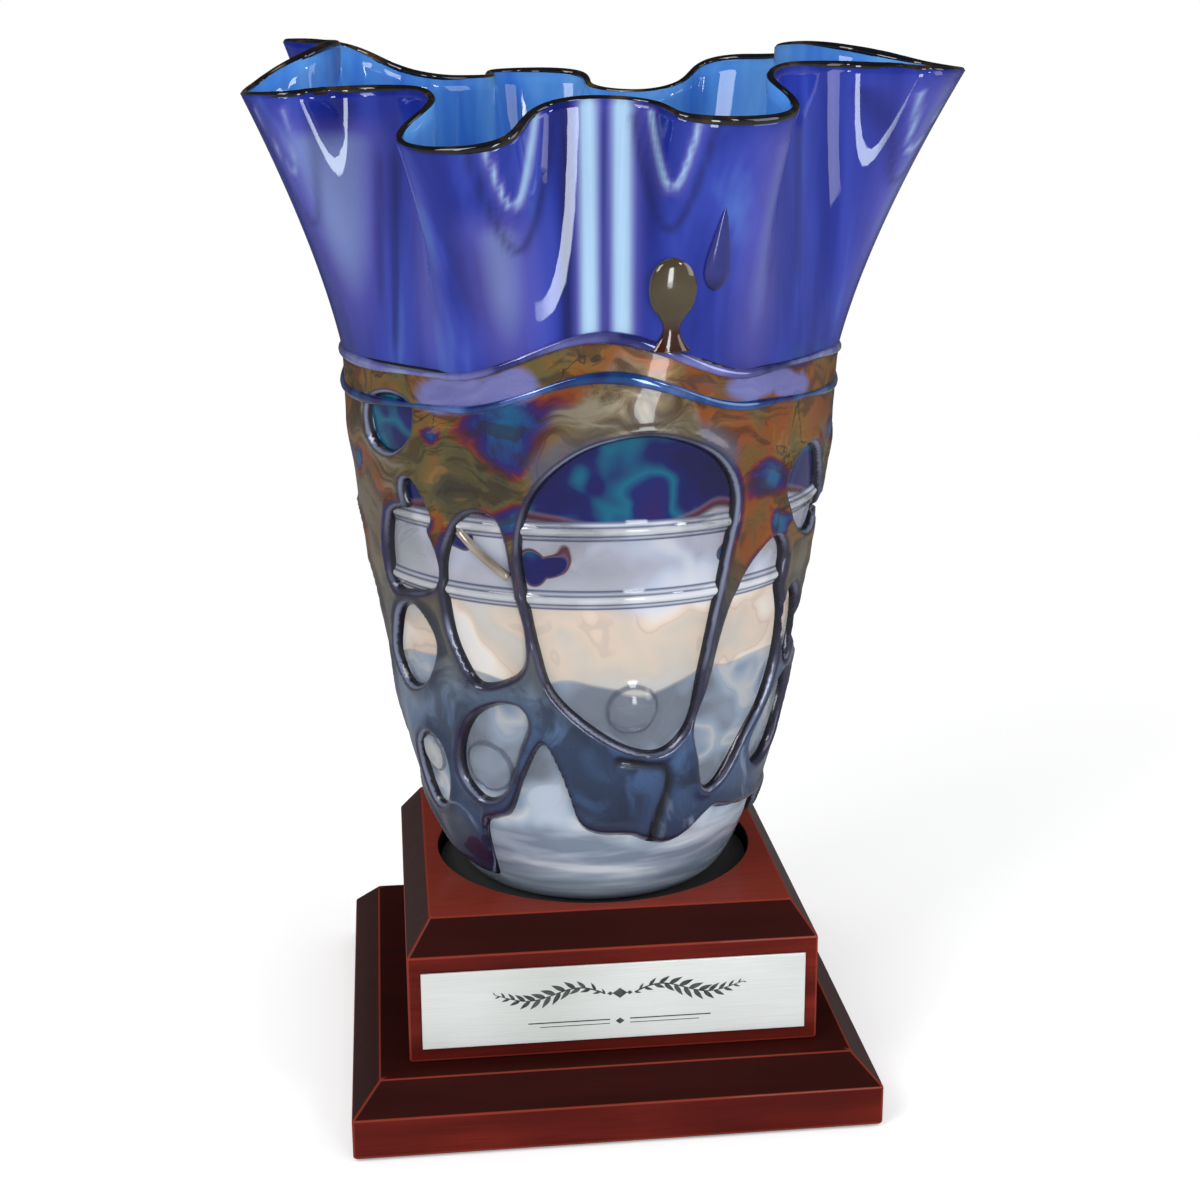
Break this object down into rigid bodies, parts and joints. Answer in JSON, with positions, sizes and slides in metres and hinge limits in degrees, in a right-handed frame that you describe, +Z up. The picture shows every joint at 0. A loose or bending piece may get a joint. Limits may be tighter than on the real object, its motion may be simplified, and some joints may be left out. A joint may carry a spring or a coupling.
{
  "type": "vase trophy",
  "caption": "Blown art glass vase trophy with a ruffled lip, standing loose in the round well of a stepped, lacquered wooden base with an engraved metal plate.",
  "frame": {"origin": "centre of the underside, on the surface that the base stands on", "axes": "+Z up along the vase, front with the plate towards -Y, +X to the right as seen from the front"},
  "size_m": [0.2348, 0.206, 0.3565],
  "materials": {
    "rosewood": "high gloss lacquer",
    "screw_steel": "zinc plated",
    "black_felt": "flocked felt",
    "silver_plate": "bright brushed",
    "mounting_tape": "double-sided tape",
    "blue_glass": "cobalt at the lip running to clear at the foot",
    "dark_glass": "dark transparent",
    "lustre_glass": "iridescent bronze to blue-grey lustre",
    "clear_glass": "clear"
  },
  "bodies": {
    "base": {"lower_plinth": "rosewood", "upper_block": "rosewood", "assembly_screws": "screw_steel", "underside_felt": "black_felt", "name_plate": "silver_plate", "plate_tape": "mounting_tape"},
    "felt_disc": {"well_felt": "black_felt"},
    "vase": {"vase_wall": "blue_glass", "lip_wrap": "dark_glass", "web_overlay": "lustre_glass", "web_drips": "lustre_glass", "wavy_trail_upper": "lustre_glass", "wavy_trail_lower": "lustre_glass", "ring_thread_upper": "clear_glass", "ring_thread_lower": "clear_glass", "clear_lenses": "clear_glass", "bronze_teardrop": "lustre_glass", "blue_teardrop": "dark_glass"}
  },
  "joints": [
    {"name": "vase_turn", "type": "hinge", "parent": "base", "child": "felt_disc", "pos_m": [0, 0, 0.0665], "axis": [0, 0, 1], "continuous": true},
    {"name": "vase_lift", "type": "slide", "parent": "felt_disc", "child": "vase", "axis": [0, 0, 1], "range_m": [0, 0.04]}
  ]
}
